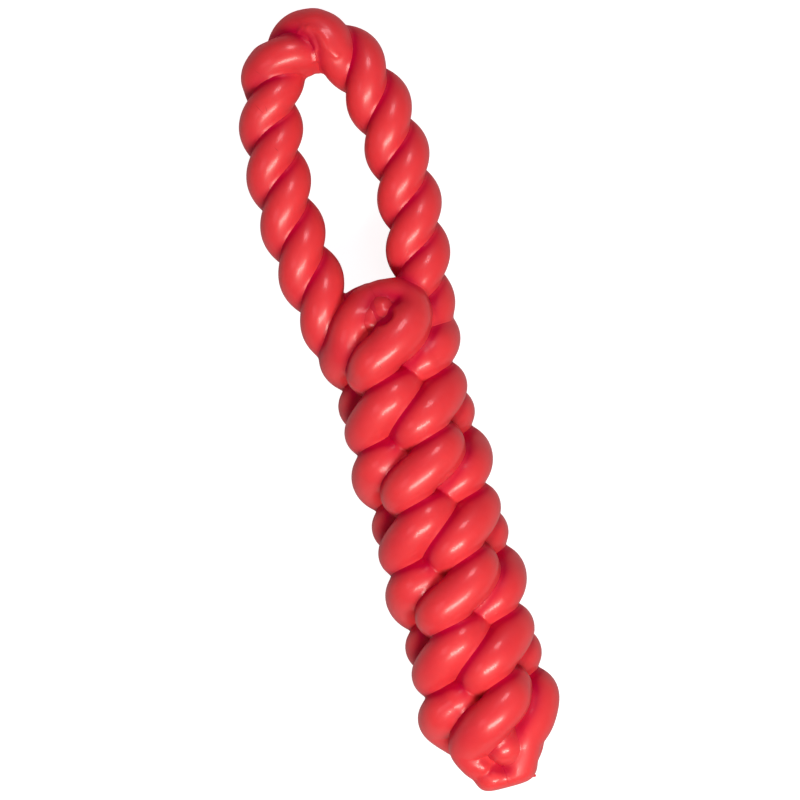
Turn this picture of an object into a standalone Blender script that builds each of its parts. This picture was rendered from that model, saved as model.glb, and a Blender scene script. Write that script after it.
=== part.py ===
"""Rope-style rubber dog toy: a two-strand loop handle on a body of four crowned strands.

The toy lies on its back. +Z is up, +Y runs from the tip to the loop, +X is to its right.
The origin is under the middle of the toy, on the surface that it lies on. Metres.
"""
import math

import bmesh
import bpy
from mathutils import Vector

MM = 0.001

# Body strands: four, each climbing to the right and crowned over its neighbours.
# As in any crowned rope, the strand's thickness sets the other sizes of the body.
STRAND_RADIUS = 9.2 * MM                # fattest, in the middle of a bulge
STRAND_RADIUS_UNDER = 0.674 * STRAND_RADIUS     # thinnest, where a strand dives
BULGE_REACH = 1.793 * STRAND_RADIUS     # body axis to a strand's centre in a bulge
UNDER_REACH = 1.25 * STRAND_RADIUS      # body axis to a strand's centre in a dive
LEVEL_STEP = 2.5 * STRAND_RADIUS        # height of one crowned level
LEVELS = 6                              # steps from the lowest level to the highest
TURN_PER_LEVEL = math.radians(135)
DIVE_SHARPNESS = 2.0

# Ends of the body
TIP_LENGTH = 2.85 * STRAND_RADIUS       # lowest level to the flat end
CORE_BELOW = 0.37 * STRAND_RADIUS       # core's reach under the lowest level
CORE_ABOVE = 1.2 * STRAND_RADIUS        # core's reach over the highest level

# Handle rope: two strands laid right-handed, with their half turns counted from the loop's top
HANDLE_RADIUS = 6.7 * MM                # one strand
HANDLE_LAY = 0.672 * HANDLE_RADIUS      # rope's centre to a strand's centre
HANDLE_LAY_INSIDE = 0.478 * HANDLE_RADIUS       # the same, squeezed on the inside of the bend
HALF_TURNS = 6.46                       # down to a leg's buried end
BEND_TURNS = 2.5                        # of them, those in the tighter bend
BEND_SHARE = 0.373                      # the bend's share of the rope's length
SQUEEZE_SHARE = 0.224                   # the share in which the bend's inside is squeezed

# Loop's centre line
LOOP_HALF_WIDTH = 21.6 * MM             # loop's middle to a leg's centre, at the widest
NECK_HALF_WIDTH = 1.7 * STRAND_RADIUS
WIDEST_ABOVE_NECK = 60.0 * MM
BEND_HEIGHT = 51.3 * MM                 # widest place to the top of the loop's centre
LEG_ROOT = 0.28 * STRAND_RADIUS         # highest level to the legs' buried ends
LEG_LEAN = 0.4                          # the leg's curve handles, as shares of its width and height
LEG_START_PULL = 0.29
LEG_END_PULL = 0.47
BEND_START_PULL = 0.617                 # the bend's curve handles, the same
BEND_END_PULL = 0.583
BODY_OFFSET = 1.4 * MM                  # the body axis stands a little right of the loop's middle

# Crown dimple and its two nubs; places are across and over the highest level
NUB_RADII = (0.315 * STRAND_RADIUS, 0.348 * STRAND_RADIUS)
NUB_PLACES = ((-0.576 * STRAND_RADIUS, 1.239 * STRAND_RADIUS),
              (-0.15 * STRAND_RADIUS, 1.522 * STRAND_RADIUS))
NUB_RISE = 0.4 * MM                     # nub's top over the crown's
NUB_ROOT = 1.6 * MM                     # nub's foot under the dimple's floor
DIMPLE_RADIUS = 0.674 * STRAND_RADIUS
DIMPLE_DEPTH = 0.217 * STRAND_RADIUS    # under the crown's top
DIMPLE_PLACE = (-0.109 * STRAND_RADIUS, 1.478 * STRAND_RADIUS)

# Tucked strand ends at the tip; places are across and over the lowest level
TUCK_RADIUS = 0.674 * STRAND_RADIUS
TUCK_TOP = (0.076 * STRAND_RADIUS, -0.435 * STRAND_RADIUS)
TUCK_END = (0.098 * STRAND_RADIUS, -1.25 * STRAND_RADIUS)
TUCK_FORWARD = 0.63 * BULGE_REACH       # in front of the body axis
TUCK_TAPER = 0.95                       # girth at its top, and how far forward that is

# Fits
GAP = 0.3 * MM                          # between neighbouring strands
REST_FLAT = 0.9 * MM                    # depth of the flats that the toy lies on
WELD = 0.01 * MM                        # a tube's caps are merged within this
CUTTER_REACH = 200.0 * MM               # half size of the blocks that make the flats

# Fineness
BODY_RING_STEP = 0.5 * STRAND_RADIUS
HANDLE_RING_STEP = 0.75 * HANDLE_RADIUS
PATH_STEP = 1.6 * MM                    # between the points of a path before it is eased
EASING_PASSES = 7
EASED_LEVELS = 0.3                      # share of the end levels that is eased as well
LEVEL_POINTS = 24                       # points of a path from one level to the next
CURVE_POINTS = 60                       # points of each curve of the loop's centre line
TUBE_SIDES = 8                          # a multiple of 2
DOME_ANGLES = (28, 52, 72, 86)

# Places that follow from the sizes above
CORE_RADIUS = UNDER_REACH - STRAND_RADIUS_UNDER - GAP
AXIS_HEIGHT = BULGE_REACH + STRAND_RADIUS - REST_FLAT
HIGHEST = TIP_LENGTH + LEVELS * LEVEL_STEP
NECK = HIGHEST + LEG_ROOT
LOOP_TOP = NECK + WIDEST_ABOVE_NECK + BEND_HEIGHT
LENGTH = LOOP_TOP + HANDLE_LAY + HANDLE_RADIUS
MIDDLE = LENGTH / 2

# Runs of the strands past the levels: across and forward in bulge reaches, up in level
# steps from the last level, and girth in strand radii
CROWN_OVER = [(0.37, 0.20, 0.93, 0.94), (0.61, 0.41, 0.74, 0.78), (0.61, 0.63, 0.61, 0.69),
              (0.37, 0.78, 0.52, 0.69), (0.09, 0.81, 0.46, 0.72)]
CROWN_UNDER = [(-0.89, 0.17, 0.37, 0.94), (-0.74, 0.38, 0.61, 0.82), (-0.59, 0.55, 0.67, 0.78),
               (-0.39, 0.69, 0.61, 0.78), (-0.17, 0.76, 0.50, 0.82), (0.03, 0.77, 0.44, 0.84)]
TIP_LEFTWARD = [(-0.35, -0.17, 0.83, 0.92), (-0.67, -0.36, 0.52, 0.74), (-0.62, -0.58, 0.35, 0.66),
                (-0.41, -0.75, 0.30, 0.65), (-0.28, -0.94, 0.26, 0.65)]
TIP_DOWNWARD = [(0.85, -0.17, 0.26, 0.94), (0.63, -0.42, 0.44, 0.82), (0.44, -0.64, 0.44, 0.73),
                (0.30, -0.92, 0.33, 0.67)]
TIP_BEHIND = [(-0.80, -0.14, -0.26, 0.90), (-0.57, -0.35, -0.48, 0.80), (-0.39, -0.60, -0.44, 0.73),
              (-0.28, -0.92, -0.33, 0.65)]

# Height of the crown's middle over the body axis, for the nubs and the dimple
CROWN_TOP = CROWN_OVER[-1][2] * BULGE_REACH + CROWN_OVER[-1][3] * STRAND_RADIUS

COLLECTION = "rope_dog_toy"
RUBBER = (0.83, 0.045, 0.045, 1.0)
HANDLE_STRANDS = ("handle_strand_a", "handle_strand_b")
BODY_STRANDS = ("right_strand", "left_strand", "front_strand", "back_strand")


def clear_scene():
    """Remove everything that an earlier run, or the start file, left."""
    for old in list(bpy.data.objects):
        bpy.data.objects.remove(old, do_unlink=True)
    for old in list(bpy.data.collections):
        bpy.data.collections.remove(old)


def new_collection(name):
    group = bpy.data.collections.new(name)
    bpy.context.scene.collection.children.link(group)
    return group


def rubber(name):
    """Glossy, slightly soft red rubber."""
    material = bpy.data.materials.new(name + "_rubber")
    material.use_nodes = True
    shader = material.node_tree.nodes["Principled BSDF"]
    shader.inputs["Base Color"].default_value = RUBBER
    shader.inputs["Roughness"].default_value = 0.28
    shader.inputs["Metallic"].default_value = 0.0
    material.diffuse_color = RUBBER
    return material


def place(across, along, forward):
    """A point given from the body axis and the flat end, in the toy's frame."""
    return Vector((BODY_OFFSET + across, along - MIDDLE, AXIS_HEIGHT + forward))


def evenly(rows, step):
    """The same run of four-value rows, spaced evenly."""
    reach = [0.0]
    for a, b in zip(rows, rows[1:]):
        reach.append(reach[-1] + (b.to_3d() - a.to_3d()).length)
    count = round(reach[-1] / step)
    even = []
    at = 0
    for number in range(count + 1):
        wanted = reach[-1] * number / count
        while at < len(rows) - 2 and reach[at + 1] < wanted:
            at += 1
        even.append(rows[at].lerp(rows[at + 1], (wanted - reach[at]) / (reach[at + 1] - reach[at])))
    return even


def end_share(along):
    """0 in the crowned levels, rising to 1 in the tip and the crown."""
    level = (along + MIDDLE - TIP_LENGTH) / LEVEL_STEP
    beyond = max(EASED_LEVELS - level, level - (LEVELS - EASED_LEVELS))
    return min(max(beyond / EASED_LEVELS, 0.0), 1.0)


def eased(points, step):
    """A run through the levels that is smoothed at both ends, with a ring at each step."""
    exact = evenly([Vector((*p, r)) for p, r in points], PATH_STEP)
    rows = exact
    for _ in range(EASING_PASSES):
        inner = [(a + 2 * b + c) / 4 for a, b, c in zip(rows, rows[1:], rows[2:])]
        rows = [rows[0]] + inner + [rows[-1]]
    rows = [a.lerp(b, end_share(a.y)) for a, b in zip(exact, rows)]
    return [(row.to_3d(), row[3]) for row in evenly(rows, step)]


def dome_end(run):
    """The run with its last end closed by a half-round."""
    end, radius = run[-1]
    outward = (end - run[-2][0]).normalized()
    dome = []
    for degrees in DOME_ANGLES:
        angle = math.radians(degrees)
        dome.append((end + outward * radius * math.sin(angle), radius * math.cos(angle)))
    return run + dome


def swept(name, run, group, grow=0.0):
    """A round tube along a run of points with their radii, as a closed mesh."""
    if grow:
        first, last = run[0][0] - run[1][0], run[-1][0] - run[-2][0]
        run = ([(run[0][0] + first.normalized() * grow, run[0][1])] + run[1:-1]
               + [(run[-1][0] + last.normalized() * grow, run[-1][1])])
    curve = bpy.data.curves.new(name, "CURVE")
    curve.dimensions = "3D"
    curve.bevel_depth = 1.0
    curve.bevel_resolution = TUBE_SIDES // 2 - 2
    curve.use_fill_caps = True
    spline = curve.splines.new("POLY")
    spline.points.add(len(run) - 1)
    for point, (position, radius) in zip(spline.points, run):
        point.co = (*position, 1.0)
        point.radius = radius + grow
    tube = bpy.data.objects.new(name, curve)
    group.objects.link(tube)
    return meshed(tube, group)


def meshed(tube, group):
    """The curve object as a mesh object with its caps welded on."""
    name = tube.name
    bpy.context.view_layer.update()
    evaluated = tube.evaluated_get(bpy.context.evaluated_depsgraph_get())
    mesh = bpy.data.meshes.new_from_object(evaluated)
    work = bmesh.new()
    work.from_mesh(mesh)
    bmesh.ops.remove_doubles(work, verts=work.verts, dist=WELD)
    bmesh.ops.recalc_face_normals(work, faces=work.faces)
    work.to_mesh(mesh)
    work.free()
    mesh.materials.clear()
    matrix = tube.matrix_world.copy()
    curve = tube.data
    bpy.data.objects.remove(tube, do_unlink=True)
    bpy.data.curves.remove(curve)
    solid = bpy.data.objects.new(name, mesh)
    solid.matrix_world = matrix
    group.objects.link(solid)
    return solid


def block(name, low, high, group):
    """A box between two corners."""
    work = bmesh.new()
    bmesh.ops.create_cube(work, size=1.0)
    size = Vector(high) - Vector(low)
    bmesh.ops.scale(work, vec=size, verts=work.verts)
    mesh = bpy.data.meshes.new(name)
    work.to_mesh(mesh)
    work.free()
    box = bpy.data.objects.new(name, mesh)
    box.location = (Vector(low) + Vector(high)) / 2
    group.objects.link(box)
    return box


def cut(solid, cutter):
    """Take the cutter's shape out of the solid."""
    modifier = solid.modifiers.new("less_" + cutter.name, "BOOLEAN")
    modifier.operation = "DIFFERENCE"
    modifier.solver = "EXACT"
    modifier.object = cutter


def level_point(strand, level):
    """Centre and radius of a body strand at a level, whole or between."""
    turn = math.radians(90) * strand + TURN_PER_LEVEL * level
    dive = (0.5 - 0.5 * math.cos(2 * math.pi * level)) ** DIVE_SHARPNESS
    reach = BULGE_REACH - (BULGE_REACH - UNDER_REACH) * dive
    radius = STRAND_RADIUS - (STRAND_RADIUS - STRAND_RADIUS_UNDER) * dive
    along = TIP_LENGTH + level * LEVEL_STEP
    return place(reach * math.sin(turn), along, reach * math.cos(turn)), radius


def end_run(rows, level, turned):
    """Points of a crown or tip run, turned half round the body axis for the far side."""
    side = -1 if turned else 1
    along = TIP_LENGTH + level * LEVEL_STEP
    return [(place(side * across * BULGE_REACH, along + up * LEVEL_STEP, side * forward * BULGE_REACH),
             girth * STRAND_RADIUS) for across, up, forward, girth in rows]


def body_run(strand, tip, tip_turned, crown, crown_turned):
    """The whole run of one body strand, from the crown to its tip."""
    below = end_run(tip, 0, tip_turned)
    above = end_run(crown, LEVELS, crown_turned)
    levels = [level_point(strand, number / LEVEL_POINTS) for number in range(LEVELS * LEVEL_POINTS + 1)]
    return dome_end(eased(above[::-1] + levels[::-1] + below, BODY_RING_STEP))


def bezier(a, b, c, d):
    points = []
    for step in range(CURVE_POINTS + 1):
        t = step / CURVE_POINTS
        u = 1 - t
        points.append(a * u ** 3 + b * 3 * u * u * t + c * 3 * u * t * t + d * t ** 3)
    return points


def loop_centre():
    """The rope's centre line, evenly spaced, with its distance from the loop's top."""
    neck = Vector((NECK_HALF_WIDTH, NECK))
    widest = Vector((LOOP_HALF_WIDTH, NECK + WIDEST_ABOVE_NECK))
    top = Vector((0, LOOP_TOP))
    lean = Vector((LEG_LEAN * (LOOP_HALF_WIDTH - NECK_HALF_WIDTH), LEG_START_PULL * WIDEST_ABOVE_NECK))
    leg = bezier(neck, neck + lean, widest - Vector((0, LEG_END_PULL * WIDEST_ABOVE_NECK)), widest)
    bend = bezier(widest, widest + Vector((0, BEND_START_PULL * BEND_HEIGHT)),
                  top + Vector((BEND_END_PULL * LOOP_HALF_WIDTH, 0)), top)
    half = leg + bend[1:]
    line = [Vector((-p.x, p.y)) for p in half] + half[-2::-1]
    reach = [0.0]
    for a, b in zip(line, line[1:]):
        reach.append(reach[-1] + (b - a).length)
    count = round(reach[-1] / HANDLE_RING_STEP)
    rows = []
    at = 0
    for step in range(count + 1):
        wanted = reach[-1] * step / count
        while at < len(line) - 2 and reach[at + 1] < wanted:
            at += 1
        share = (wanted - reach[at]) / (reach[at + 1] - reach[at])
        rows.append((line[at].lerp(line[at + 1], share), (line[at + 1] - line[at]).normalized(),
                     wanted - reach[-1] / 2))
    return rows


def handle_run(strand):
    """One strand of the handle, up the left leg, over the bend and down the right leg."""
    rope = loop_centre()
    half = rope[-1][2]
    run = []
    for centre, ahead, distance in rope:
        far = abs(distance) / half
        bend = min(far, BEND_SHARE) / BEND_SHARE
        leg = max(far - BEND_SHARE, 0) / (1 - BEND_SHARE)
        turns = BEND_TURNS * bend + (HALF_TURNS - BEND_TURNS) * leg
        lay = math.pi * (math.copysign(turns, distance) + strand)
        outward = Vector((-ahead.y, ahead.x))
        squeeze = math.exp(-(far / SQUEEZE_SHARE) ** 4)
        inside = HANDLE_LAY + (HANDLE_LAY_INSIDE - HANDLE_LAY) * squeeze
        offset = math.cos(lay) * (HANDLE_LAY if math.cos(lay) > 0 else inside)
        flat = centre + outward * offset
        run.append((place(flat.x - BODY_OFFSET, flat.y, HANDLE_LAY * math.sin(lay)), HANDLE_RADIUS))
    return run


def nub_post(which, top):
    """A straight post at a nub's place, from its foot to a height over the body axis."""
    across, over = NUB_PLACES[which]
    foot = CROWN_TOP - DIMPLE_DEPTH - NUB_ROOT
    return [(place(across, HIGHEST + over, forward), NUB_RADII[which]) for forward in (foot, top)]


def nub_run(which):
    """A short peg with a domed top, standing in the crown dimple."""
    return dome_end(nub_post(which, CROWN_TOP + NUB_RISE - NUB_RADII[which]))


def tuck_run(side):
    """A strand's rounded end, tucked in under the lowest bulge."""
    forward = side * TUCK_FORWARD
    top = place(side * TUCK_TOP[0], TIP_LENGTH + TUCK_TOP[1], TUCK_TAPER * forward)
    end = place(side * TUCK_END[0], TIP_LENGTH + TUCK_END[1], forward)
    return dome_end([(top, TUCK_TAPER * TUCK_RADIUS), (top.lerp(end, 0.5), TUCK_RADIUS), (end, TUCK_RADIUS)])


def core_run():
    """The solid middle that the body strands wrap."""
    low = place(0, TIP_LENGTH - CORE_BELOW, 0)
    high = place(0, HIGHEST + CORE_ABOVE, 0)
    return [(low, CORE_RADIUS), (high, CORE_RADIUS)]


def make():
    clear_scene()
    parts = new_collection(COLLECTION)
    cutters = new_collection("cutters")
    runs = {
        "crown_nub_small": nub_run(0),
        "crown_nub_large": nub_run(1),
        "right_strand": body_run(0, TIP_LEFTWARD, False, CROWN_UNDER, True),
        "left_strand": body_run(2, TIP_LEFTWARD, True, CROWN_UNDER, False),
        "front_strand": body_run(3, TIP_BEHIND, False, CROWN_OVER, False),
        "back_strand": body_run(1, TIP_DOWNWARD, False, CROWN_OVER, True),
        "tucked_end_front": tuck_run(1),
        "tucked_end_back": tuck_run(-1),
        "core": core_run(),
        "handle_strand_a": handle_run(0),
        "handle_strand_b": handle_run(1),
    }
    # Each piece is cut by those before it that it meets
    meets = {
        "handle_strand_b": ["handle_strand_a"],
        "crown_nub_large": ["crown_nub_small"],
        "right_strand": HANDLE_STRANDS,
        "left_strand": (*HANDLE_STRANDS, "crown_nub_small", "crown_nub_large"),
        "front_strand": (*HANDLE_STRANDS, "crown_nub_small", "crown_nub_large", "right_strand", "left_strand"),
        "back_strand": (*HANDLE_STRANDS, "right_strand", "left_strand"),
        "core": HANDLE_STRANDS,
        "tucked_end_front": BODY_STRANDS,
        "tucked_end_back": BODY_STRANDS,
    }
    solids = {name: swept(name, run, parts) for name, run in runs.items()}
    # A nub's room is open upwards, so that no strand closes over its shoulder
    open_rooms = {
        "crown_nub_small": nub_post(0, CROWN_TOP + DIMPLE_RADIUS),
        "crown_nub_large": nub_post(1, CROWN_TOP + DIMPLE_RADIUS),
    }
    wanted = {name for names in meets.values() for name in names}
    grown = {name: swept(name + "_room", run, cutters, GAP)
             for name, run in {**runs, **open_rooms}.items() if name in wanted}
    wide = CUTTER_REACH
    floor = block("floor", (-wide, -wide, -wide), (wide, wide, 0.0), cutters)
    end = block("end", (-wide, -MIDDLE - wide, -wide), (wide, -MIDDLE, wide), cutters)
    bpy.ops.mesh.primitive_uv_sphere_add(segments=16, ring_count=8, radius=DIMPLE_RADIUS)
    dimple = bpy.context.object
    dimple.name = "dimple"
    across, over = DIMPLE_PLACE
    dimple.location = place(across, HIGHEST + over, CROWN_TOP - DIMPLE_DEPTH + DIMPLE_RADIUS)
    for group in list(dimple.users_collection):
        group.objects.unlink(dimple)
    cutters.objects.link(dimple)
    for name, names in meets.items():
        for other in names:
            cut(solids[name], grown[other])
    for name in ("left_strand", "front_strand"):
        cut(solids[name], dimple)
    for name in BODY_STRANDS:
        cut(solids[name], floor)
        cut(solids[name], end)
    for name, solid in solids.items():
        solid.data.materials.append(rubber(name))
        solid.data.shade_smooth()
    for cutter in cutters.objects:
        cutter.hide_render = True
        cutter.display_type = "WIRE"


make()
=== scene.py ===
"""Looks of the rope-style rubber dog toy: glossy red rubber moulded as laid and crowned rope.

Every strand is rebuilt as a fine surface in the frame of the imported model. The strands are
round sweeps whose distance fields are blended, so that neighbours meet in small fillets, as
in the one moulding that the real toy is. Paths are in millimetres, meshes in metres.
"""
import math

import bpy
import numpy as np
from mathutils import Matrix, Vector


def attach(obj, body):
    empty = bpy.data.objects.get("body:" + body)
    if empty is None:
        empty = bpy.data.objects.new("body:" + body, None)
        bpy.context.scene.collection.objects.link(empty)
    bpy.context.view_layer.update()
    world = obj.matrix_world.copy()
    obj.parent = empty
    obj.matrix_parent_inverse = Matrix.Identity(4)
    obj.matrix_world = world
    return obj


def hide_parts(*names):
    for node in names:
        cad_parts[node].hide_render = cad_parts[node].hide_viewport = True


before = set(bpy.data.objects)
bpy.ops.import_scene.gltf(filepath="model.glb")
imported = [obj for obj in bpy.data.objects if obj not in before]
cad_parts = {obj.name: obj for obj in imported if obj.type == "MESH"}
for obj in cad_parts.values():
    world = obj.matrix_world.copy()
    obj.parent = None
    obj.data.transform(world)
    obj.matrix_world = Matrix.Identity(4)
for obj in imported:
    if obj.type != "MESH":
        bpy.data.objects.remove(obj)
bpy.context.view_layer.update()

MM = 0.001
GRID = 0.45      # spacing of the distance fields
STEP = 0.5                              # spacing of the rows along a strand
FINE_STEP, NIB_STEP, FILL_STEP, CORE_STEP = 0.3, 0.25, 0.4, 0.7    # and along the other runs
PER_LEVEL = 40                          # rows to a level before that

# Body: axis, crowned levels, and the strands' reach and girth in a bulge and in a dive
AXIS_X, AXIS_Z = 1.4, 24.8
FLAT_END = -144.6
LOWEST = -118.6
LEVEL_STEP, LEVELS = 23.0, 6
BULGE_REACH, UNDER_REACH = 17.75, 10.4
GIRTH, GIRTH_UNDER = 7.9, 6.1
END_REACH, END_GIRTH = 16.5, 9.0        # the same at the crown and the tip
DIVE_SHARPNESS, LAST_SHARPNESS = 2.7, 3.3  # the last level is longer
ODD_LESS = 0.9                          # odd levels reach less far
SIDE_RISE = [2.7, 2.5, 0.9, -0.2]       # how far bulges at the sides of even levels sit nearer the loop
ODD_RISE = [2.0, 0.9, 0.0]              # and all bulges of odd levels
SKEW_TURN, SKEW_DOWN = 4.0, 1.2         # odd levels: one pair of strands sits lower and further round
SIDE_MORE = 0.3                         # the body is a little wider than it is thick
LEAN = [0.3, 0.2, -0.5, -0.7]           # shift of the axis at even levels
HIGHEST = LOWEST + LEVELS * LEVEL_STEP

# Handle rope
ROPE_RADIUS = 6.95
LAY, LAY_INSIDE = 4.7, 3.7              # how far a strand's middle is from the rope's
HALF_TURN_BEND = (18.1, 18.55)          # length of a half turn on the left and on the right, in the bend
HALF_TURN_LEG = (18.9, 18.4)            # and in the legs
BEND_REACH = 45.0
SQUEEZE_REACH, UNSQUEEZED = 27.0, 7.0   # the bend's inside is squeezed beside the peak
NECKS = (15.2, 15.0)                    # half widths of the left and the right leg
WIDEST = (22.2, 21.7)                   # and the same where the loop is widest
NECK_Y, WIDEST_Y, PEAK_Y = HIGHEST + 2.7, HIGHEST + 62.7, HIGHEST + 113.9
NECK_PULL = (2.9, 18.4)                 # control points of the loop's curves
WIDEST_PULL_DOWN, WIDEST_PULL_UP, PEAK_PULL = 28.0, 31.7, 0.583

# Crown and tip runs: across, up, forward, girth in reaches, level steps and girths
CROWN_OVER = [(0.40, 0.19, 0.93, 0.94), (0.66, 0.40, 0.74, 0.79), (0.66, 0.60, 0.57, 0.71),
              (0.42, 0.74, 0.45, 0.71), (0.14, 0.77, 0.38, 0.73)]
CROWN_UNDER = [(-0.86, 0.15, 0.37, 0.96), (-0.74, 0.36, 0.56, 0.85), (-0.57, 0.52, 0.58, 0.81),
               (-0.40, 0.63, 0.50, 0.79), (-0.26, 0.71, 0.42, 0.77)]
TIP_LEFTWARD = [(-0.35, -0.15, 0.83, 0.92), (-0.66, -0.34, 0.54, 0.77), (-0.58, -0.57, 0.42, 0.72),
                (-0.43, -0.75, 0.33, 0.67), (-0.28, -0.94, 0.31, 0.74)]
TIP_DOWNWARD = [(0.85, -0.17, 0.26, 0.94), (0.55, -0.42, 0.44, 0.84), (0.42, -0.64, 0.44, 0.76),
                (0.24, -0.94, 0.33, 0.72)]
TIP_BEHIND = [(-0.80, -0.14, -0.26, 0.90), (-0.57, -0.35, -0.48, 0.80), (-0.39, -0.60, -0.44, 0.73),
              (-0.28, -0.92, -0.33, 0.65)]

# Dimple, nubs, tucked ends (from the axis and the lowest level) and flash nib: x, y, z, radius
DIMPLE = (0.6, HIGHEST + 13.0, AXIS_Z + 20.9, 5.2)
DIMPLED = ("left_strand", "front_strand")
NUBS = {
    "crown_nub_small": [(-3.5, HIGHEST + 10.1, AXIS_Z + 14.5, 2.7),
                        (-3.0, HIGHEST + 12.0, AXIS_Z + 13.6, 2.8)],
    "crown_nub_large": [(1.6, HIGHEST + 12.2, AXIS_Z + 13.7, 3.3),
                        (1.9, HIGHEST + 13.9, AXIS_Z + 12.9, 3.4)]}
TUCK = [(0.9, -4.0, 10.4, 5.9), (1.6, -7.6, 11.6, 6.1), (1.9, -11.2, 11.9, 6.1)]
CORE = [(1.3, FLAT_END + 1.5, AXIS_Z, 9.0), (AXIS_X, LOWEST - 16, AXIS_Z, 7.0),
        (AXIS_X, LOWEST, AXIS_Z, 11.0), (AXIS_X, HIGHEST, AXIS_Z, 11.0),
        (0.2, HIGHEST + 8.0, AXIS_Z, 15.2), (0.7, HIGHEST + 10.8, AXIS_Z + 8.9, 7.7)]
NIB = [(9.0, FLAT_END + 2.8, AXIS_Z + 1.5, 1.3), (11.5, FLAT_END + 1.2, AXIS_Z + 1.5, 0.45)]

# Fused folds on top of the loop and soft lumps at the tip: how far each stands out, then x, y, radius
FOLDS = [(0.35, [(-1.3, 137.0, 0.5), (0.0, 135.2, 0.7), (0.7, 133.9, 0.5)]),
         (0.45, [(0.3, 138.0, 0.6), (2.0, 136.0, 1.0), (3.0, 133.3, 1.2), (3.4, 130.8, 1.1),
                 (3.2, 129.4, 0.8)]),
         (0.40, [(2.5, 128.9, 0.7), (2.0, 127.2, 0.9), (1.6, 125.4, 0.6)]),
         (0.60, [(2.3, 137.3, 0.8), (4.6, 135.8, 1.8), (6.1, 134.2, 2.3), (7.1, 131.1, 2.6),
                 (7.8, 128.4, 2.2), (9.4, 125.3, 1.4)]),
         (0.50, [(-6.8, -134.0, 2.8), (-6.2, -134.8, 2.8)]),
         (0.45, [(-3.4, -139.5, 2.8), (-2.6, -140.0, 2.8)])]
# Rubber that fills the loop's inner arch, and fuller shoulders of the loop: x, y, z, radius
WEB = [(-1.9, 124.3, AXIS_Z, 3.3), (0.5, 126.2, AXIS_Z, 3.3), (2.3, 124.6, AXIS_Z, 3.4)]
SHOULDERS = [[(5.0, 136.7, AXIS_Z + 2, 6.6), (8.3, 134.5, AXIS_Z + 2, 6.6), (9.7, 131.9, AXIS_Z + 2, 6.6)],
             [(-15.2, 130.5, AXIS_Z, 5.6), (-18.8, 127.1, AXIS_Z, 5.6), (-20.2, 125.1, AXIS_Z, 5.3)]]

# Hairline scratches on the side seen: x, y, angle in degrees and half length
SCRATCHES = [(-19.3, 126.4, -51, 2.1), (-22.3, 113.6, -62, 3.1), (-19.8, 112.4, -88, 2.2),
             (-20.0, 97.9, -60, 1.4), (-5.0, 14.0, -73, 0.8), (-4.3, 13.2, -73, 1.2)]
SCRATCH_HALF_WIDTH = 0.16
SCRATCH_Z, SCRATCH_DEPTH = AXIS_Z + 20, 20      # a height and a reach that keep them off the underside
SCRATCH_STRENGTH = 0.55

# How the strands melt into each other
MELT = 0.75                             # size of the fillet in a crease
MELT_MORE = [(1.5, PEAK_Y + 1, AXIS_Z, 11.0, 0.8),      # x, y, z, reach and how much more
             (1.4, FLAT_END, AXIS_Z, 12.0, 0.8),
             (-0.5, HIGHEST + 22.5, AXIS_Z + 5, 7.0, 1.2),
             (-9.5, -129.0, AXIS_Z + 9, 5.5, 0.5)]
FOLD_BLEND, WEB_BLEND, SHOULDER_BLEND, NIB_BLEND = 0.9, 2.2, 2.5, 0.8
DIMPLE_EDGE = 1.2                       # rounding of the dimple's rim
SINK = 0.6                              # slope at which a strand goes under past the crease
EDGE_ROUND = 0.9                        # rounding of the resting flats
END_ROUND = 4.0                         # and of the flat end

# Painted shade: the colour is darkened to a deeper magenta red in the creases, where shade falls, and more
# on faces turned away from the key light
PAINTED_SHADE_BLUR = 3.7                       # how far round a point it is asked how much is rubber
PAINTED_SHADE_FROM, PAINTED_SHADE_FULL = 0.37, 0.55   # shares of rubber at which the painted shade starts and is full
NUB_PAINTED_SHADE = 0.55                       # the nubs have less of it
PAINTED_SHADE_LEVEL, PAINTED_SHADE_PER_Y, PAINTED_SHADE_PER_X = 0.60, 0.95, -0.55   # painted shade is stronger on faces turned up and left, away from the key light
PAINTED_SHADE_LEAST = 0.10

# Colours
RUBBER_DARK, RUBBER_LIGHT = (0.81, 0.046, 0.054, 1), (0.86, 0.056, 0.061, 1)
# Next line: painted shade for the creases, then the scratches' own colour
PAINTED_CREASE_SHADE_COLOUR, SCRATCH_COLOUR = (0.53, 0.0008, 0.042, 1), (0.30, 0.008, 0.012, 1)


def spline(rows, steps):
    """A smooth run through rows of any width."""
    p = np.array(rows, float)
    q = np.vstack([2 * p[0] - p[1], p, 2 * p[-1] - p[-2]])
    t = np.linspace(0, 1, steps, endpoint=False)[:, None]
    runs = []
    for a, b, c, d in zip(q, q[1:], q[2:], q[3:]):
        runs.append(0.5 * (2 * b + (c - a) * t + (2 * a - 5 * b + 4 * c - d) * t ** 2
                           + (3 * b - a - 3 * c + d) * t ** 3))
    return np.vstack([*runs, p[-1:]])


def bezier(a, b, c, d, steps):
    """A cubic curve from a to d, drawn to b and c."""
    a, b, c, d = (np.array(p, float) for p in (a, b, c, d))
    t = np.linspace(0, 1, steps)[:, None]
    return (1 - t) ** 3 * a + 3 * (1 - t) ** 2 * t * b + 3 * (1 - t) * t ** 2 * c + t ** 3 * d


def evenly(rows, step):
    """The run with a row every step of its length."""
    reach = np.r_[0, np.cumsum(np.linalg.norm(np.diff(rows[:, :3], axis=0), axis=1))]
    wanted = np.linspace(0, reach[-1], int(reach[-1] / step) + 2)
    return np.stack([np.interp(wanted, reach, column) for column in rows.T], axis=1)


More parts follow.
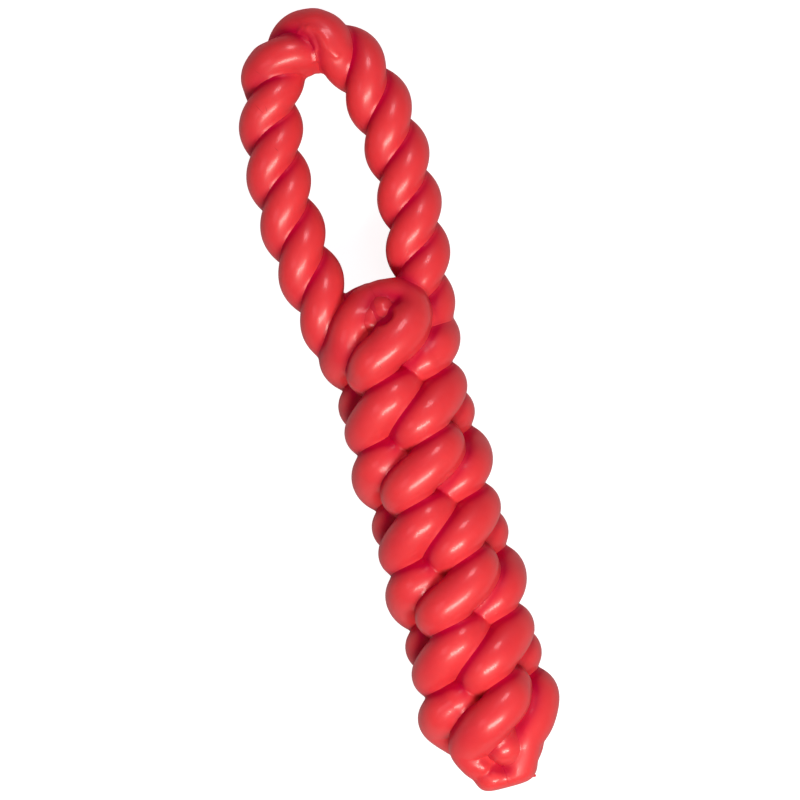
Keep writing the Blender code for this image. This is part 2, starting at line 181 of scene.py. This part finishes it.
def levels_run(strand):
    """x, y, z and radius of a body strand from the lowest level to the highest."""
    level = np.linspace(0, LEVELS, LEVELS * PER_LEVEL + 1)
    odd = 0.5 - 0.5 * np.cos(np.pi * level)
    turn = np.radians(90 * strand + 135 * level)
    skew = odd ** 2 * (0.5 - 0.5 * np.sin(2 * turn))
    turn -= np.radians(SKEW_TURN) * skew
    sharpness = np.where(level > LEVELS - 0.5, LAST_SHARPNESS, DIVE_SHARPNESS)
    dive = (0.5 - 0.5 * np.cos(2 * np.pi * level)) ** sharpness
    bulge = BULGE_REACH - ODD_LESS * odd
    reach = bulge - (bulge - UNDER_REACH) * dive
    girth = GIRTH - (GIRTH - GIRTH_UNDER) * dive
    rise = (1 - odd) * np.interp(level, (0, 2, 4, 6), SIDE_RISE) * np.sin(turn) ** 2
    rise += odd * np.interp(level, (1, 3, 5), ODD_RISE) - SKEW_DOWN * skew
    across = AXIS_X + np.interp(level, (0, 2, 4, 6), LEAN) + (reach + SIDE_MORE * (1 - dive)) * np.sin(turn)
    along = LOWEST + LEVEL_STEP * level + rise
    return np.stack([across, along, AXIS_Z + reach * np.cos(turn), girth], axis=1)


def end_run(rows, along, turned):
    """Rows of a crown or tip run in millimetres, or their twin turned half round the axis."""
    side = -1 if turned else 1
    middle = AXIS_X + (LEAN[0] if along == LOWEST else LEAN[-1])
    return np.array([(middle + side * x * END_REACH, along + y * LEVEL_STEP,
                      AXIS_Z + side * z * END_REACH, r * END_GIRTH) for x, y, z, r in rows])


def body_run(strand, tip, tip_turned, crown, crown_turned):
    """A body strand from its end in the tip to its end in the crown.

    The first and last rows of its levels give way to smooth runs into the two ends.
    """
    middle = levels_run(strand)
    below = end_run(tip, LOWEST, tip_turned)
    above = end_run(crown, HIGHEST, crown_turned)
    low = spline(np.vstack([below[::-1], middle[:1], middle[7:14:6]]), 16)
    high = spline(np.vstack([middle[-14:-7:6], middle[-1:], above]), 16)
    return evenly(np.vstack([low, middle[14:-14], high]), STEP)


def half_loop(neck, widest):
    """One half of the rope's centre line, from the neck to the peak."""
    leg = bezier((neck, NECK_Y), (neck + NECK_PULL[0], NECK_Y + NECK_PULL[1]),
                 (widest, WIDEST_Y - WIDEST_PULL_DOWN), (widest, WIDEST_Y), 200)
    bend = bezier((widest, WIDEST_Y), (widest, WIDEST_Y + WIDEST_PULL_UP),
                  (PEAK_PULL * widest, PEAK_Y), (0, PEAK_Y), 300)
    return np.vstack([leg, bend[1:]])


def rope_centre():
    """The rope's centre line with its length from the peak, left leg first."""
    left, right = (half_loop(neck, widest) for neck, widest in zip(NECKS, WIDEST))
    line = np.vstack([left * (-1, 1), right[-2::-1]])
    reach = np.r_[0, np.cumsum(np.linalg.norm(np.diff(line, axis=0), axis=1))]
    return line, reach - reach[len(left) - 1]


def rope_run(strand):
    """One of the two strands laid round the rope's centre line."""
    line, reach = rope_centre()
    s = np.linspace(reach[0], reach[-1], 900)
    centre = np.stack([np.interp(s, reach, line[:, 0]), np.interp(s, reach, line[:, 1])], axis=1)
    ahead = np.gradient(centre, axis=0)
    ahead /= np.linalg.norm(ahead, axis=1)[:, None]
    outward = np.stack([-ahead[:, 1], ahead[:, 0]], axis=1)
    far = np.abs(s)
    in_bend, in_leg = (np.where(s < 0, *lengths) for lengths in (HALF_TURN_BEND, HALF_TURN_LEG))
    turns = np.minimum(far, BEND_REACH) / in_bend + np.maximum(far - BEND_REACH, 0) / in_leg
    lay = np.pi * (np.sign(s) * turns + strand)
    squeeze = np.exp(-(s / SQUEEZE_REACH) ** 4) * (1 - np.exp(-(s / UNSQUEEZED) ** 2))
    inside = LAY + (LAY_INSIDE - LAY) * squeeze
    across = np.cos(lay) * np.where(np.cos(lay) > 0, LAY, inside)
    flat = centre + outward * across[:, None]
    height = AXIS_Z + LAY * np.sin(lay)
    return evenly(np.stack([flat[:, 0], flat[:, 1], height, np.full(len(s), ROPE_RADIUS)], axis=1), STEP)


def tuck_run(side):
    """The tucked end in front, or with side -1 its twin behind."""
    rows = [(AXIS_X + side * x, LOWEST + y, AXIS_Z + side * z, r) for x, y, z, r in TUCK]
    return evenly(spline(rows, 12), STEP)


RUNS = {
    "right_strand": body_run(0, TIP_LEFTWARD, False, CROWN_UNDER, True),
    "left_strand": body_run(2, TIP_LEFTWARD, True, CROWN_UNDER, False),
    "front_strand": body_run(3, TIP_BEHIND, False, CROWN_OVER, False),
    "back_strand": body_run(1, TIP_DOWNWARD, False, CROWN_OVER, True),
    "tucked_end_front": tuck_run(1),
    "tucked_end_back": tuck_run(-1),
    "handle_strand_a": rope_run(0),
    "handle_strand_b": rope_run(1),
    **{name: evenly(np.array(rows), FINE_STEP) for name, rows in NUBS.items()},
}
RUNS["core"] = evenly(np.array(CORE), CORE_STEP)
RUNS["back_strand"] = np.vstack([RUNS["back_strand"], evenly(np.array(NIB), NIB_STEP)])

# One grid of points holds every distance field, each cut off at FAR from its surface
FAR = 3.0
LOW = np.array([-36.0, FLAT_END - FAR, -FAR])
HIGH = np.array([36.0, -FLAT_END + FAR, 53.0])
COUNT = np.ceil((HIGH - LOW) / GRID).astype(int) + 1
AXES = [LOW[i] + GRID * np.arange(COUNT[i]) for i in range(3)]


def window(run, margin):
    """The slices of the grid that hold a run and a margin round it."""
    low = (run[:, :3] - run[:, 3:] - margin).min(axis=0)
    high = (run[:, :3] + run[:, 3:] + margin).max(axis=0)
    first = np.maximum(np.floor((low - LOW) / GRID).astype(int), 0)
    last = np.minimum(np.ceil((high - LOW) / GRID).astype(int) + 1, COUNT)
    return tuple(slice(a, b) for a, b in zip(first, last))


def distance(run):
    """Distance from a strand's surface, negative inside, in its window of the grid."""
    where = window(run, FAR)
    start = np.array([s.start for s in where])
    field = np.full([s.stop - s.start for s in where], FAR, np.float32)
    for row in run:
        box = window(row[None], FAR)
        x, y, z = (AXES[i][box[i]] - row[i] for i in range(3))
        ball = ball_field(x, y, z) - row[3]
        part = tuple(slice(box[i].start - start[i], box[i].stop - start[i]) for i in range(3))
        np.minimum(field[part], ball, out=field[part])
    return where, field


def smooth_max(a, b, k):
    """The greater of two fields, with the edge where they meet rounded by k."""
    gap = np.clip((k - np.abs(a - b)) / k, 0, None)
    return np.maximum(a, b) + gap ** 2 * k / 4


def ball_field(x, y, z):
    """Distance from the middle of a ball, from the distances along each axis."""
    return np.sqrt(x[:, None, None] ** 2 + y[None, :, None] ** 2 + z[None, None, :] ** 2)


def surface(field, where):
    """Points in millimetres, four-sided faces and grid cells of the field's zero surface."""
    inside = field < 0
    mixed = np.zeros(np.array(field.shape) - 1, bool)
    corners = [(i, j, k) for i in (0, 1) for j in (0, 1) for k in (0, 1)]

    def corner(array, c):
        return array[tuple(slice(c[i], array.shape[i] - 1 + c[i]) for i in range(3))]

    first = corner(inside, (0, 0, 0))
    for c in corners[1:]:
        mixed |= corner(inside, c) != first
    cells = np.argwhere(mixed)
    number = np.full(mixed.shape, -1, np.int64)
    number[mixed] = np.arange(len(cells))
    value = {c: field[cells[:, 0] + c[0], cells[:, 1] + c[1], cells[:, 2] + c[2]] for c in corners}
    total = np.zeros((len(cells), 3))
    hits = np.zeros(len(cells))
    for a in corners:
        for axis in range(3):
            if a[axis]:
                continue
            b = tuple(1 if i == axis else a[i] for i in range(3))
            va, vb = value[a], value[b]
            cross = (va < 0) != (vb < 0)
            point = np.tile(np.array(a, float), (len(cells), 1))
            point[:, axis] = va / np.where(cross, va - vb, 1)
            total[cross] += point[cross]
            hits += cross
    start = np.array([s.start for s in where])
    cells = start + cells
    points = LOW + (cells + total / hits[:, None]) * GRID
    faces = []
    for axis in range(3):
        one, two = (axis + 1) % 3, (axis + 2) % 3
        step = [0, 0, 0]
        step[axis] = 1
        edge = np.argwhere(first != corner(inside, tuple(step)))
        edge = edge[(edge[:, one] > 0) & (edge[:, two] > 0)]
        around = []
        for back_one, back_two in ((0, 0), (1, 0), (1, 1), (0, 1)):
            cell = edge.copy()
            cell[:, one] -= back_one
            cell[:, two] -= back_two
            around.append(number[cell[:, 0], cell[:, 1], cell[:, 2]])
        quad = np.stack(around, axis=1)
        out = inside[edge[:, 0], edge[:, 1], edge[:, 2]]
        quad[~out] = quad[~out][:, ::-1]
        faces.append(quad)
    return points, np.vstack(faces), cells


def normals(points, faces):
    """Outward direction at each point."""
    a, b, c, d = (points[faces[:, i]] for i in range(4))
    across = np.cross(c - a, d - b)
    sums = [np.bincount(faces.ravel(), np.repeat(across[:, i], 4), len(points)) for i in range(3)]
    total = np.stack(sums, axis=1)
    return total / np.maximum(np.linalg.norm(total, axis=1), 1e-9)[:, None]


def new_piece(name, points, faces, painted_crease_shade, material):
    """A smooth piece from four-sided faces, with the painted crease shade at each point."""
    mesh = bpy.data.meshes.new(name)
    mesh.vertices.add(len(points))
    mesh.vertices.foreach_set("co", (points * MM).astype(np.float32).ravel())
    mesh.loops.add(faces.size)
    mesh.loops.foreach_set("vertex_index", faces.astype(np.int32).ravel())
    mesh.polygons.add(len(faces))
    mesh.polygons.foreach_set("loop_start", np.arange(0, faces.size, 4, dtype=np.int32))
    mesh.update(calc_edges=True)
    mesh.attributes.new("painted_crease_shade", "FLOAT", "POINT").data.foreach_set("value", painted_crease_shade.astype(np.float32))
    mesh.validate()
    mesh.shade_smooth()
    mesh.materials.append(material)
    piece = bpy.data.objects.new(name, mesh)
    bpy.context.scene.collection.objects.link(piece)
    return piece


class Nodes:
    """Short forms for building a node tree."""

    def __init__(self, name):
        self.material = bpy.data.materials.new(name)
        self.material.use_nodes = True
        self.tree = self.material.node_tree
        self.shader = self.tree.nodes["Principled BSDF"]

    def add(self, kind, **values):
        node = self.tree.nodes.new(kind)
        for key, value in values.items():
            setattr(node, key, value)
        return node

    def link(self, a, b):
        self.tree.links.new(a, b)

    def noise(self, scale, detail, where):
        node = self.add("ShaderNodeTexNoise")
        node.inputs["Scale"].default_value = scale
        node.inputs["Detail"].default_value = detail
        self.link(where, node.inputs["Vector"])
        return node.outputs["Fac"]

    def remap(self, value, from_min, from_max, to_min, to_max):
        node = self.add("ShaderNodeMapRange")
        limits = {"From Min": from_min, "From Max": from_max, "To Min": to_min, "To Max": to_max}
        for key, number in limits.items():
            node.inputs[key].default_value = number
        self.link(value, node.inputs["Value"])
        return node.outputs["Result"]

    def maths(self, operation, a, b):
        node = self.add("ShaderNodeMath", operation=operation)
        for socket, value in zip(node.inputs, (a, b)):
            if isinstance(value, (int, float)):
                socket.default_value = value
            else:
                self.link(value, socket)
        return node.outputs[0]


def rubber_material():
    """Glossy red rubber with a little light going through it, and shade painted into its creases."""
    n = Nodes("red_rubber")
    place = n.add("ShaderNodeTexCoord").outputs["Object"]
    cloud = n.noise(45.0, 3.0, place)
    ramp = n.add("ShaderNodeValToRGB")
    ramp.color_ramp.elements[0].position = 0.32
    ramp.color_ramp.elements[0].color = RUBBER_DARK
    ramp.color_ramp.elements[1].position = 0.68
    ramp.color_ramp.elements[1].color = RUBBER_LIGHT
    n.link(cloud, ramp.inputs["Fac"])
    scratched = None
    for x, y, angle, half in SCRATCHES:
        near = n.add("ShaderNodeMapping", vector_type="TEXTURE")
        near.inputs["Location"].default_value = (x * MM, y * MM, SCRATCH_Z * MM)
        near.inputs["Rotation"].default_value = (0, 0, math.radians(angle))
        near.inputs["Scale"].default_value = (half * MM, SCRATCH_HALF_WIDTH * MM, SCRATCH_DEPTH * MM)
        n.link(place, near.inputs["Vector"])
        away = n.add("ShaderNodeVectorMath", operation="LENGTH")
        n.link(near.outputs["Vector"], away.inputs[0])
        mark = n.remap(away.outputs["Value"], 0.4, 1.0, 1.0, 0.0)
        scratched = mark if scratched is None else n.maths("MAXIMUM", scratched, mark)
    # Painted shade: the colour is mixed towards a dark magenta red in the creases
    painted_shade_mix = n.add("ShaderNodeMix", data_type="RGBA")
    painted_crease_shade = n.add("ShaderNodeAttribute", attribute_name="painted_crease_shade").outputs["Fac"]
    n.link(painted_crease_shade, painted_shade_mix.inputs["Factor"])
    n.link(ramp.outputs["Color"], painted_shade_mix.inputs["A"])
    painted_shade_mix.inputs["B"].default_value = PAINTED_CREASE_SHADE_COLOUR
    cut = n.add("ShaderNodeMix", data_type="RGBA")
    n.link(n.maths("MULTIPLY", scratched, SCRATCH_STRENGTH), cut.inputs["Factor"])
    n.link(painted_shade_mix.outputs["Result"], cut.inputs["A"])
    cut.inputs["B"].default_value = SCRATCH_COLOUR
    n.link(cut.outputs["Result"], n.shader.inputs["Base Color"])
    smear = n.noise(120.0, 4.0, place)
    n.link(n.remap(smear, 0.3, 0.7, 0.36, 0.44), n.shader.inputs["Roughness"])
    waves = n.noise(130.0, 1.0, place)
    bump = n.add("ShaderNodeBump")
    bump.inputs["Strength"].default_value = 0.25
    bump.inputs["Distance"].default_value = 0.00012
    n.link(waves, bump.inputs["Height"])
    n.link(bump.outputs["Normal"], n.shader.inputs["Normal"])
    n.shader.inputs["IOR"].default_value = 1.45
    # The painted crease shade also dims the gloss in the creases
    n.link(n.remap(painted_crease_shade, 0.0, 0.8, 0.40, 0.06), n.shader.inputs["Coat Weight"])
    n.link(n.remap(painted_crease_shade, 0.0, 0.8, 0.50, 0.12), n.shader.inputs["Specular IOR Level"])
    axes = n.add("ShaderNodeSeparateXYZ")
    n.link(place, axes.inputs["Vector"])
    n.link(n.remap(axes.outputs["Y"], 0.02, 0.07, 0.11, 0.18), n.shader.inputs["Coat Roughness"])
    n.shader.inputs["Subsurface Weight"].default_value = 0.2
    n.shader.inputs["Subsurface Radius"].default_value = (1.0, 0.12, 0.10)
    n.shader.inputs["Subsurface Scale"].default_value = 0.002
    return n.material


rubber = rubber_material()

fields = {name: distance(run) for name, run in RUNS.items()}

# The dimple is pressed into the two strands that meet under it
dimple = np.array([DIMPLE])
for name in DIMPLED:
    where, field = fields[name]
    box = window(dimple, FAR)
    part = tuple(slice(max(b.start, w.start), min(b.stop, w.stop)) for b, w in zip(box, where))
    x, y, z = (AXES[i][part[i]] - DIMPLE[i] for i in range(3))
    hollow = DIMPLE[3] - ball_field(x, y, z)
    own = tuple(slice(part[i].start - where[i].start, part[i].stop - where[i].start) for i in range(3))
    field[own] = smooth_max(field[own], hollow.astype(np.float32), DIMPLE_EDGE)

# Size of the fillets over the grid
melt = np.full(COUNT, MELT, np.float32)
for x, y, z, reach, more in MELT_MORE:
    away = [((axis - middle) / reach) ** 2 for axis, middle in zip(AXES, (x, y, z))]
    bell = np.exp(-away[0][:, None, None] - away[1][None, :, None] - away[2][None, None, :])
    melt += more * bell.astype(np.float32)

# The nearest strand's distance, and all strands melted into one body
nearest = np.full(COUNT, FAR, np.float32)
melted = np.zeros(COUNT, np.float32)
for where, field in fields.values():
    np.minimum(nearest[where], field, out=nearest[where])
    melted[where] += np.maximum(np.exp(-field / melt[where]) - np.exp(-FAR / melt[where]), 0)
melted = np.where(melted > 0, -melt * np.log(np.maximum(melted, 1e-30)), FAR).astype(np.float32)
melted = np.minimum(melted, FAR)


def top_of(x, y):
    """Height of the rubber's upper surface over a point."""
    column = melted[int(round((x - LOW[0]) / GRID)), int(round((y - LOW[1]) / GRID))]
    return LOW[2] + GRID * np.nonzero(column < 0)[0].max()


def lay_on(line, blend):
    """Adds a ridge to the rubber; it belongs to the strand on which it lies."""
    box, ridge = distance(line)
    gap = np.clip(1 - np.abs(melted[box] - ridge) / blend, 0, None)
    melted[box] = np.minimum(melted[box], ridge) - gap ** 2 * blend / 4


# Small forms laid on, and the flats cut; the nib stands out of the flat end's rim
for proud, fold in FOLDS:
    line = evenly(spline([(x, y, 0, r) for x, y, r in fold], 10), FINE_STEP)
    line[:, 2] = [top_of(x, y) for x, y in line[:, :2]]
    line[:, 2] = np.convolve(np.pad(line[:, 2], 4, "edge"), np.ones(9) / 9, "valid") + proud - line[:, 3]
    lay_on(line, FOLD_BLEND)
lay_on(evenly(spline(WEB, 8), FILL_STEP), WEB_BLEND)
for shoulder in SHOULDERS:
    lay_on(evenly(spline(shoulder, 8), FILL_STEP), SHOULDER_BLEND)
flat_end = (FLAT_END - AXES[1])[None, :, None]
resting = -AXES[2][None, None, :]
melted = smooth_max(melted, flat_end.astype(np.float32), END_ROUND)
melted = smooth_max(melted, resting.astype(np.float32), EDGE_ROUND)
lay_on(evenly(np.array(NIB), NIB_STEP), NIB_BLEND)

# Share of rubber round each point, from two running means along each axis; it sets how much shade is
# painted into the creases
half = max(1, int(round(PAINTED_SHADE_BLUR / GRID)))
share = np.clip(0.5 - melted / GRID, 0, 1)
for axis in (0, 0, 1, 1, 2, 2):
    pad = [(half + 1, half) if i == axis else (0, 0) for i in range(3)]
    total = np.moveaxis(np.cumsum(np.pad(share, pad), axis=axis), axis, 0)
    share = np.moveaxis(total[2 * half + 1:] - total[:-2 * half - 1], 0, axis) / (2 * half + 1)

# Each strand keeps the part of the body that is nearest to it
for name, (where, field) in fields.items():
    own = melted[where] + SINK * (field - nearest[where])
    points, faces, cells = surface(own, where)
    inner = (points - LOW) / GRID - cells
    around = np.zeros(len(points))
    for c in np.ndindex(2, 2, 2):
        around += share[tuple((cells + c).T)] * np.prod(np.where(c, inner, 1 - inner), axis=1)
    # Painted shade: the more rubber round a point, the more its colour is darkened
    painted_crease_shade = np.clip((around - PAINTED_SHADE_FROM) / (PAINTED_SHADE_FULL - PAINTED_SHADE_FROM), 0, 1)
    painted_crease_shade *= NUB_PAINTED_SHADE if name in NUBS else 1
    # Painted shade is made stronger on faces turned up and left, away from the key light
    facing = normals(points, faces)
    facing_shade = PAINTED_SHADE_LEVEL + PAINTED_SHADE_PER_Y * facing[:, 1] + PAINTED_SHADE_PER_X * facing[:, 0]
    facing_shade = np.clip(facing_shade, PAINTED_SHADE_LEAST, 1)
    piece = new_piece(name + "_skin", points, faces, painted_crease_shade * facing_shade, rubber)
    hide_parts(name)
    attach(piece, "root")

# Stage: pale floor, whitened for the camera, with the toy's shadow kept
FLOOR_Z, FLOOR_HALF = -0.0002, 3
FLOOR_WHITENING = 0.92
mesh = bpy.data.meshes.new("floor")
square = [(x * FLOOR_HALF, y * FLOOR_HALF, FLOOR_Z) for x, y in ((-1, -1), (1, -1), (1, 1), (-1, 1))]
mesh.from_pydata(square, [], [(0, 1, 2, 3)])
floor = bpy.data.objects.new("floor", mesh)
bpy.context.scene.collection.objects.link(floor)
n = Nodes("floor")
n.shader.inputs["Base Color"].default_value = (0.42, 0.36, 0.38, 1)
n.shader.inputs["Roughness"].default_value = 0.9
n.shader.inputs["Specular IOR Level"].default_value = 0.0
light_path = n.add("ShaderNodeLightPath")
n.shader.inputs["Emission Color"].default_value = (1, 1, 1, 1)
n.link(n.maths("MULTIPLY", light_path.outputs["Is Camera Ray"], FLOOR_WHITENING),
       n.shader.inputs["Emission Strength"])
mesh.materials.append(n.material)

world = bpy.data.worlds.new("studio")
bpy.context.scene.world = world
world.use_nodes = True
world.node_tree.nodes["Background"].inputs["Color"].default_value = (1.0, 0.50, 0.68, 1)
world.node_tree.nodes["Background"].inputs["Strength"].default_value = 0.12

# Camera: straight down on the toy, which lies turned in the photograph
TURN = math.radians(-15)
CENTRE = np.array([-0.52, -0.18, 25.0]) * MM
FRAME_WIDTH = 288 * MM
DISTANCE = 2.2
camera = bpy.data.cameras.new("camera")
camera.sensor_width = 36
camera.lens = camera.sensor_width * DISTANCE / FRAME_WIDTH
camera.clip_start = 0.05
camera.clip_end = 20
seer = bpy.data.objects.new("camera", camera)
seer.location = (CENTRE[0], CENTRE[1], CENTRE[2] + DISTANCE)
seer.rotation_euler = (0, 0, TURN)
bpy.context.scene.collection.objects.link(seer)
bpy.context.scene.camera = seer


def lamp(name, direction, distance, size, power, color):
    """A soft rectangular light in a direction from the toy, aimed at it."""
    away = np.array(direction) / np.linalg.norm(direction)
    data = bpy.data.lights.new(name, "AREA")
    data.shape = "RECTANGLE"
    data.size, data.size_y = size
    data.energy = power
    data.color = color
    light = bpy.data.objects.new(name, data)
    light.location = CENTRE + away * distance
    light.rotation_mode = "QUATERNION"
    light.rotation_quaternion = Vector(-away).to_track_quat("-Z", "Y")
    bpy.context.scene.collection.objects.link(light)


# Name, direction, distance, size, power and colour
lamp("key", (0.06, -0.56, 0.82), 1.1, (0.78, 0.22), 7.4, (1.0, 1.0, 0.90))
lamp("key_halo", (0.06, -0.56, 0.82), 1.12, (1.0, 0.46), 4.4, (1.0, 1.0, 0.90))
lamp("upper", (0.28, 0.62, 0.73), 1.1, (0.33, 0.33), 4.2, (0.86, 0.62, 0.66))
lamp("left", (-0.62, -0.05, 0.78), 1.2, (0.46, 0.46), 1.2, (1.0, 0.60, 0.68))

bpy.context.scene.view_settings.view_transform = "Standard"
